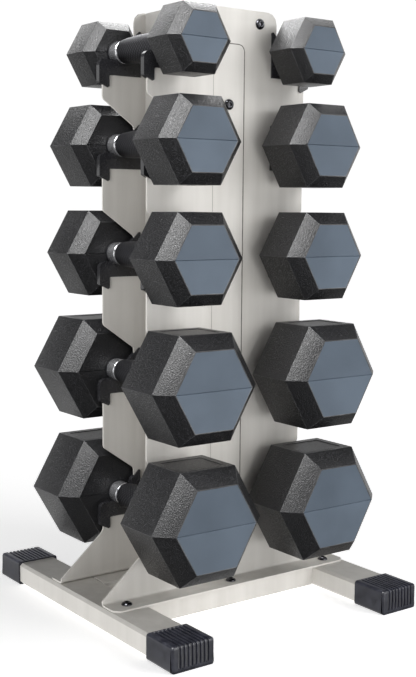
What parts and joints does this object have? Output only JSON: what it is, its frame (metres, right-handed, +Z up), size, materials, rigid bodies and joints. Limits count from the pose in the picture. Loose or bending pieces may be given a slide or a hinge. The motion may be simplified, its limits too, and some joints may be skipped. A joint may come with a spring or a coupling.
{
  "type": "dumbbell rack",
  "caption": "Upright two-sided steel rack that stands on an H-shaped base and holds pairs of hexagonal dumbbells by their handles in plastic saddles.",
  "frame": {"origin": "floor level, centre of the footprint", "axes": "+Z up, -Y towards the front panel, +X to the right seen from the front"},
  "size_m": [0.3268, 0.3624, 0.6495],
  "materials": {
    "powder_coat": "satin off-white powder coat on sheet and tube",
    "saddle_plastic": "black moulded plastic, soft gloss",
    "cap_rubber": "black rubber, ribbed",
    "head_rubber": "iron core in a pebbled black rubber coat",
    "handle_chrome": "chromed steel with a diamond-knurled grip"
  },
  "bodies": {
    "rack": {"base_frame": "powder_coat", "spine_column": "powder_coat", "front_panel": "powder_coat", "rear_panel": "powder_coat", "end_cap_front_left": "cap_rubber", "end_cap_front_right": "cap_rubber", "end_cap_rear_left": "cap_rubber", "end_cap_rear_right": "cap_rubber", "saddle_front_left_1": "saddle_plastic", "saddle_rear_left_1": "saddle_plastic", "saddle_front_right_1": "saddle_plastic", "saddle_rear_right_1": "saddle_plastic", "saddle_front_left_2": "saddle_plastic", "saddle_rear_left_2": "saddle_plastic", "saddle_front_right_2": "saddle_plastic", "saddle_rear_right_2": "saddle_plastic", "saddle_front_left_3": "saddle_plastic", "saddle_rear_left_3": "saddle_plastic", "saddle_front_right_3": "saddle_plastic", "saddle_rear_right_3": "saddle_plastic", "saddle_front_left_4": "saddle_plastic", "saddle_rear_left_4": "saddle_plastic", "saddle_front_right_4": "saddle_plastic", "saddle_rear_right_4": "saddle_plastic", "saddle_front_left_5": "saddle_plastic", "saddle_rear_left_5": "saddle_plastic", "saddle_front_right_5": "saddle_plastic", "saddle_rear_right_5": "saddle_plastic"},
    "dumbbell_left_1": {"handle_left_1": "handle_chrome", "head_left_1_front": "head_rubber", "head_left_1_rear": "head_rubber"},
    "dumbbell_right_1": {"handle_right_1": "handle_chrome", "head_right_1_front": "head_rubber", "head_right_1_rear": "head_rubber"},
    "dumbbell_left_2": {"handle_left_2": "handle_chrome", "head_left_2_front": "head_rubber", "head_left_2_rear": "head_rubber"},
    "dumbbell_right_2": {"handle_right_2": "handle_chrome", "head_right_2_front": "head_rubber", "head_right_2_rear": "head_rubber"},
    "dumbbell_left_3": {"handle_left_3": "handle_chrome", "head_left_3_front": "head_rubber", "head_left_3_rear": "head_rubber"},
    "dumbbell_right_3": {"handle_right_3": "handle_chrome", "head_right_3_front": "head_rubber", "head_right_3_rear": "head_rubber"},
    "dumbbell_left_4": {"handle_left_4": "handle_chrome", "head_left_4_front": "head_rubber", "head_left_4_rear": "head_rubber"},
    "dumbbell_right_4": {"handle_right_4": "handle_chrome", "head_right_4_front": "head_rubber", "head_right_4_rear": "head_rubber"},
    "dumbbell_left_5": {"handle_left_5": "handle_chrome", "head_left_5_front": "head_rubber", "head_left_5_rear": "head_rubber"},
    "dumbbell_right_5": {"handle_right_5": "handle_chrome", "head_right_5_front": "head_rubber", "head_right_5_rear": "head_rubber"}
  },
  "joints": [
    {"name": "lift_left_1", "type": "slide", "parent": "rack", "child": "dumbbell_left_1", "axis": [0, 0, 1], "range_m": [0, 0.15]},
    {"name": "lift_right_1", "type": "slide", "parent": "rack", "child": "dumbbell_right_1", "axis": [0, 0, 1], "range_m": [0, 0.15]},
    {"name": "lift_left_2", "type": "slide", "parent": "rack", "child": "dumbbell_left_2", "axis": [0, 0, 1], "range_m": [0, 0.018]},
    {"name": "lift_right_2", "type": "slide", "parent": "rack", "child": "dumbbell_right_2", "axis": [0, 0, 1], "range_m": [0, 0.018]},
    {"name": "lift_left_3", "type": "slide", "parent": "rack", "child": "dumbbell_left_3", "axis": [0, 0, 1], "range_m": [0, 0.016]},
    {"name": "lift_right_3", "type": "slide", "parent": "rack", "child": "dumbbell_right_3", "axis": [0, 0, 1], "range_m": [0, 0.016]},
    {"name": "lift_left_4", "type": "slide", "parent": "rack", "child": "dumbbell_left_4", "axis": [0, 0, 1], "range_m": [0, 0.021]},
    {"name": "lift_right_4", "type": "slide", "parent": "rack", "child": "dumbbell_right_4", "axis": [0, 0, 1], "range_m": [0, 0.021]},
    {"name": "lift_left_5", "type": "slide", "parent": "rack", "child": "dumbbell_left_5", "axis": [0, 0, 1], "range_m": [0, 0.022]},
    {"name": "lift_right_5", "type": "slide", "parent": "rack", "child": "dumbbell_right_5", "axis": [0, 0, 1], "range_m": [0, 0.022]}
  ]
}
